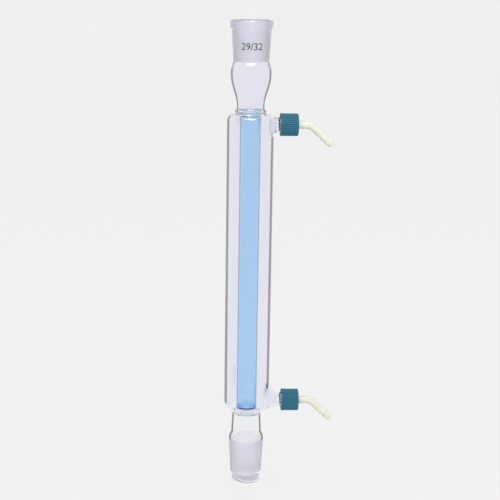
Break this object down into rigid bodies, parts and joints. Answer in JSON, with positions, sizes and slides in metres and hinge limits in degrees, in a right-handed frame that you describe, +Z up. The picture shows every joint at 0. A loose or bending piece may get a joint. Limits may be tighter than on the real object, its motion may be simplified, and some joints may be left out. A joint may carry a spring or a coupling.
{
  "type": "laboratory condenser",
  "caption": "Straight-tube glass condenser with a water jacket, ground socket and cone joints, and screw-on barbed hose connectors on its side arms.",
  "frame": {"origin": "centre of the ground cone's large end, the plane where it leaves the socket that holds it", "axes": "+Z up the vapour path toward the socket's mouth, +X along the two side arms, +Y to the back of the pictured view"},
  "size_m": [0.0925, 0.0384, 0.3881],
  "materials": {
    "clear_glass": "clear fire-polished borosilicate glass",
    "ground_glass": "borosilicate glass with a finely ground taper",
    "blue_glass": "clear glass with a pale blue tint",
    "cap_plastic": "teal moulded plastic with fine grip ribs",
    "connector_plastic": "ivory translucent moulded plastic",
    "seal_rubber": "pale silicone rubber"
  },
  "bodies": {
    "glass": {"socket_joint": "ground_glass", "upper_neck": "clear_glass", "jacket": "clear_glass", "inner_tube": "blue_glass", "lower_neck": "clear_glass", "cone_joint": "ground_glass", "upper_side_arm": "clear_glass", "lower_side_arm": "clear_glass"},
    "upper_seal": {"upper_sealing_ring": "seal_rubber"},
    "upper_cap": {"upper_screw_cap": "cap_plastic"},
    "upper_connector": {"upper_hose_connector": "connector_plastic"},
    "lower_seal": {"lower_sealing_ring": "seal_rubber"},
    "lower_cap": {"lower_screw_cap": "cap_plastic"},
    "lower_connector": {"lower_hose_connector": "connector_plastic"}
  },
  "joints": [
    {"name": "upper_cap_travel", "type": "slide", "parent": "glass", "child": "upper_seal", "axis": [1, 0, 0], "range_m": [0, 0.0076]},
    {"name": "upper_cap_turn", "type": "hinge", "parent": "upper_seal", "child": "upper_cap", "pos_m": [0.0324, 0, 0.2672], "axis": [1, 0, 0], "range_deg": [0, 1080]},
    {"name": "upper_connector_swivel", "type": "hinge", "parent": "upper_seal", "child": "upper_connector", "pos_m": [0.0324, 0, 0.2672], "axis": [1, 0, 0], "continuous": true},
    {"name": "lower_cap_travel", "type": "slide", "parent": "glass", "child": "lower_seal", "axis": [1, 0, 0], "range_m": [0, 0.0076]},
    {"name": "lower_cap_turn", "type": "hinge", "parent": "lower_seal", "child": "lower_cap", "pos_m": [0.0375, 0, 0.03375], "axis": [1, 0, 0], "range_deg": [0, 1080]},
    {"name": "lower_connector_swivel", "type": "hinge", "parent": "lower_seal", "child": "lower_connector", "pos_m": [0.0375, 0, 0.03375], "axis": [1, 0, 0], "continuous": true}
  ],
  "couplings": [
    {"joint": "upper_cap_travel", "follows": "upper_cap_turn", "m_per_rad": 0.00039789},
    {"joint": "lower_cap_travel", "follows": "lower_cap_turn", "m_per_rad": 0.00039789}
  ]
}
